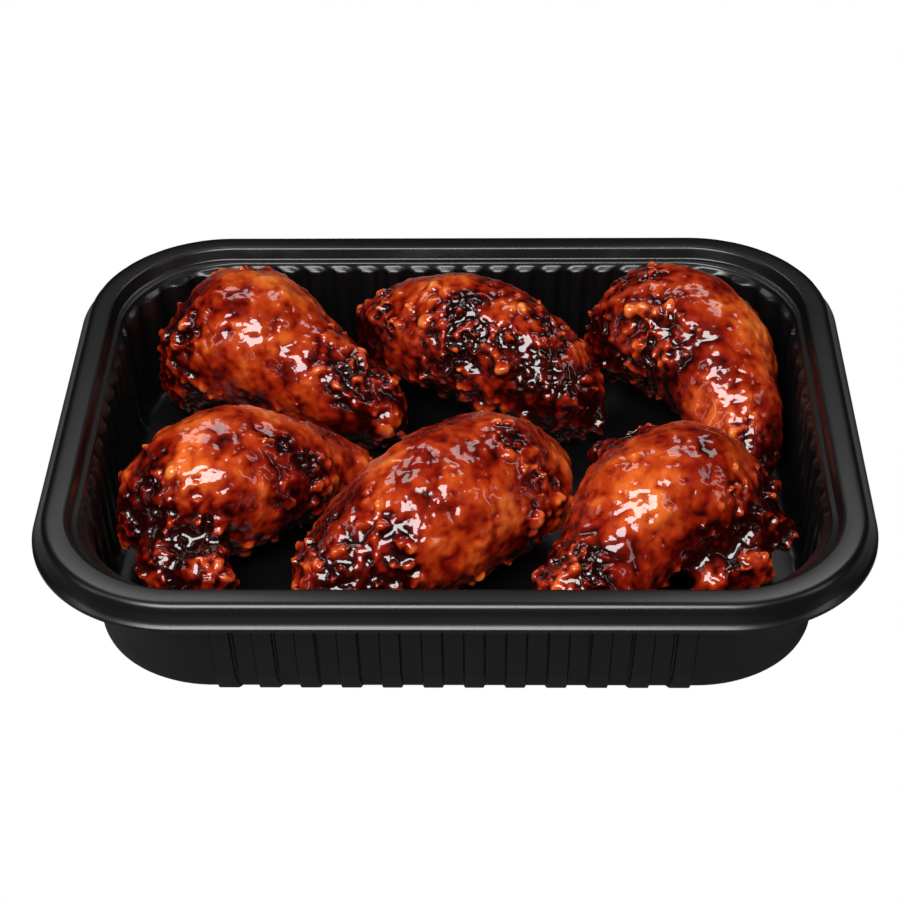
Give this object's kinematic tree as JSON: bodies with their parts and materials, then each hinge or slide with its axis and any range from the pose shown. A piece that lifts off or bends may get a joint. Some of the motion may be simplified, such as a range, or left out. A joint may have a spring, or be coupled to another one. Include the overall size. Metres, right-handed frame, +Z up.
{
  "type": "sauced chicken wings in a takeaway tray",
  "caption": "Glossy sauce-coated chicken wings lying in two rows in an open, round-cornered rectangular black plastic tray with a flat rim and fluted walls.",
  "frame": {"origin": "middle of the tray's flat base, at the height it stands on", "axes": "+X along the tray's length to its right end, +Y to its back, +Z up"},
  "size_m": [0.227, 0.179, 0.0491],
  "materials": {
    "black_plastic": "satin to gloss, plain black",
    "wing_back_left_glaze": "wet, glossy red-brown sauce over fried skin",
    "wing_back_middle_glaze": "wet, glossy red-brown sauce over fried skin",
    "wing_back_right_glaze": "wet, glossy red-brown sauce over fried skin",
    "wing_front_left_glaze": "wet, glossy red-brown sauce over fried skin",
    "wing_front_middle_glaze": "wet, glossy red-brown sauce over fried skin",
    "wing_front_right_glaze": "wet, glossy red-brown sauce over fried skin"
  },
  "bodies": {
    "root": {"tray": "black_plastic", "wing_back_left": "wing_back_left_glaze", "wing_back_middle": "wing_back_middle_glaze", "wing_back_right": "wing_back_right_glaze", "wing_front_left": "wing_front_left_glaze", "wing_front_middle": "wing_front_middle_glaze", "wing_front_right": "wing_front_right_glaze"}
  },
  "joints": []
}
